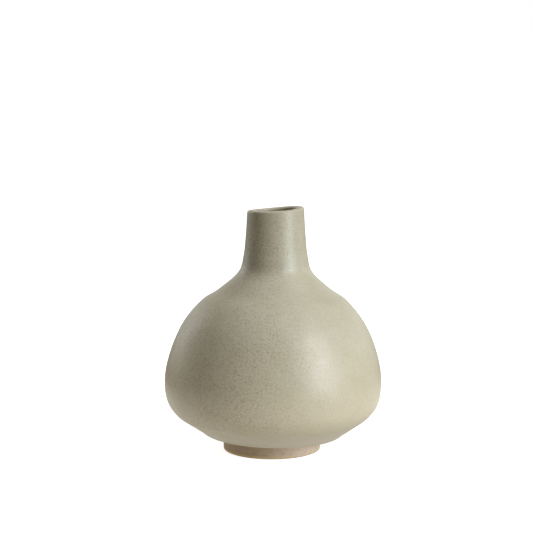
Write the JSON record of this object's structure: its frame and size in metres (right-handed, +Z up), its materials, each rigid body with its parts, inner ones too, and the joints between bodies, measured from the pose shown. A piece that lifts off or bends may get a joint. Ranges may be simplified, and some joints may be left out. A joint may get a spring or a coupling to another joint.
{
  "type": "ceramic bud vase",
  "caption": "Round-bellied stoneware bud vase with a narrow neck, a slightly slanting lip and a low bare-clay foot ring, in satin sage glaze with fine iron specks.",
  "frame": {"origin": "on the surface that the vase stands on, below the middle of its belly", "axes": "+Z up along the vase's axis; +X towards the side that the lip rises to, and that the neck leans to by 1.5 mm; -Y is the front"},
  "size_m": [0.1255, 0.1254, 0.1409],
  "materials": {
    "bare_clay": "unglazed turned stoneware, pinkish brown, toasted along the contact edge",
    "body_clay": "fired stoneware body, hidden under the glaze",
    "outer_glaze": "satin sage-beige glaze with fine iron specks",
    "inner_glaze": "smooth satin liner glaze, slightly darker than the outside"
  },
  "bodies": {
    "root": {"foot_ring": "bare_clay", "base_dish": "body_clay", "belly_wall": "body_clay", "shoulder_wall": "body_clay", "neck_collar": "body_clay", "outer_glaze": "outer_glaze", "inner_glaze": "inner_glaze"}
  },
  "joints": []
}
